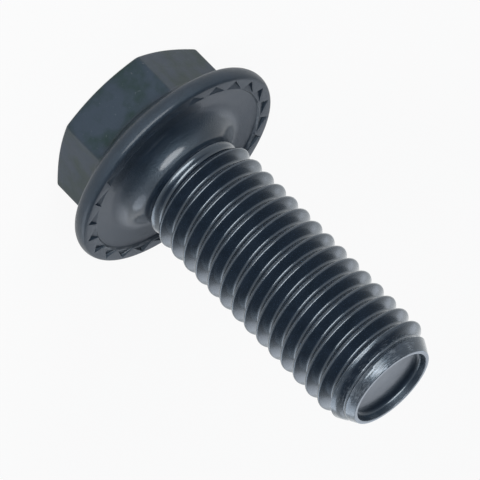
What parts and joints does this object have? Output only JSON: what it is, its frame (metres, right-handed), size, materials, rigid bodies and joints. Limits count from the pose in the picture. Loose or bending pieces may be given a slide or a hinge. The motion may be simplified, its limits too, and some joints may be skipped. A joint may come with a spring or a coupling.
{
  "type": "flange bolt",
  "caption": "Black steel hexagon flange bolt with a right-hand metric thread, a ratchet-toothed bearing ring, a filleted neck and a chamfered tip with a shallow cup.",
  "frame": {"origin": "middle of the bearing plane, where the flange seats", "axes": "+Z along the bolt's axis from the head to the tip; two flats of the hexagon are square to Y"},
  "size_m": [0.0234, 0.0234, 0.0389],
  "materials": {
    "black_steel": "black oxide over forged and rolled steel, lightly oiled: glossy on the thread and rim, satin on the hexagon"
  },
  "bodies": {
    "root": {"flange_bolt": "black_steel"}
  },
  "joints": []
}
